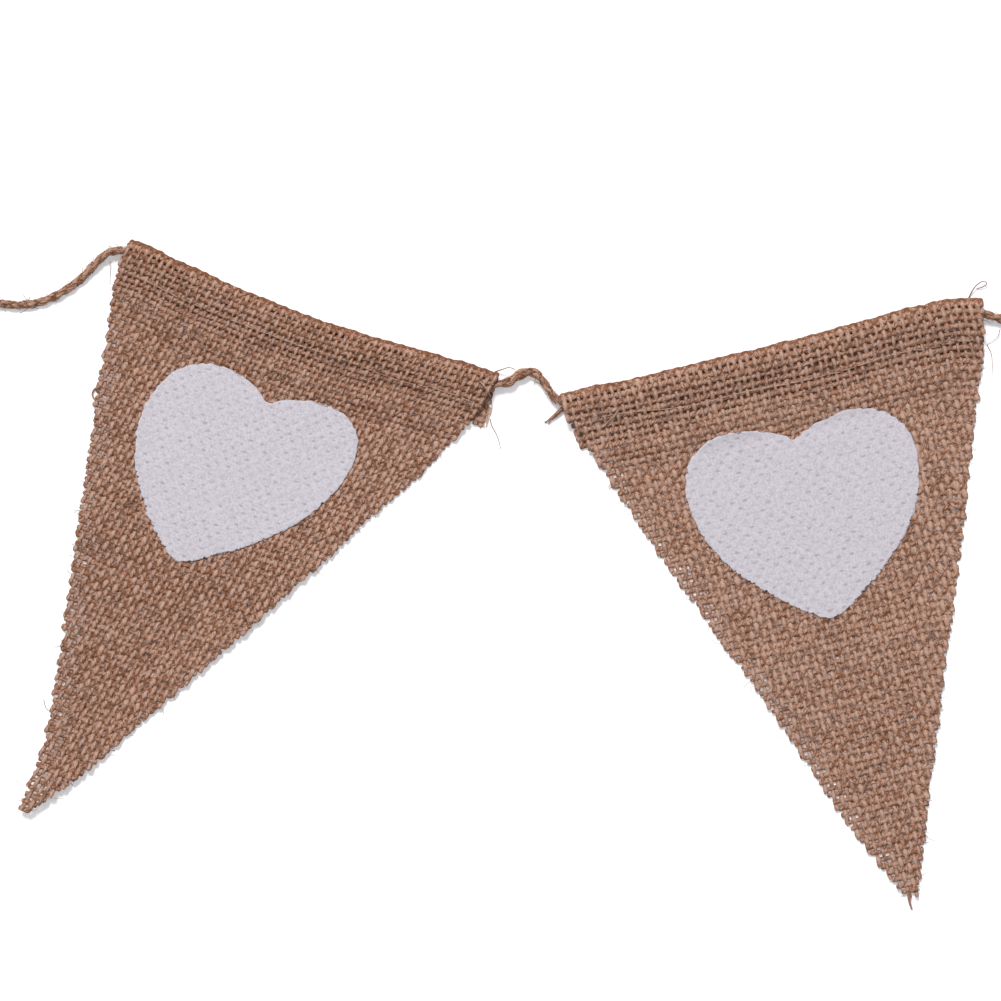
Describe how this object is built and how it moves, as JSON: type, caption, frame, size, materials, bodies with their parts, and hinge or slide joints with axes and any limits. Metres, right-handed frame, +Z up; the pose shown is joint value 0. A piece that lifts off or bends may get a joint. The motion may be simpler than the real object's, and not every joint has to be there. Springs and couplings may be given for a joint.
{
  "type": "hessian fabric bunting",
  "caption": "Triangular hessian pennants with printed white hearts, threaded through their top casings on jute twine and laid flat, for hanging as a decoration.",
  "frame": {"origin": "on the surface that the cloth lies on, below the middle of the box of both pennants to within 1 mm", "axes": "+X along the row, from the left pennant to the right one; +Z up, out of the printed face; -Y towards the pennants' points"},
  "size_m": [0.3353, 0.2034, 0.0052],
  "materials": {
    "hessian": "natural brown plain-woven hessian, coarse matt yarns that nearly cover, with cut and slightly frayed sides",
    "jute_twine": "two-ply jute twine, matt and hairy",
    "white_print": "white fabric paint, a matt film with the weave showing through as small hollows",
    "sewing_thread": "pale spun sewing thread"
  },
  "bodies": {
    "root": {"pennant_left": "hessian", "pennant_right": "hessian", "twine": "jute_twine"}
  },
  "joints": []
}
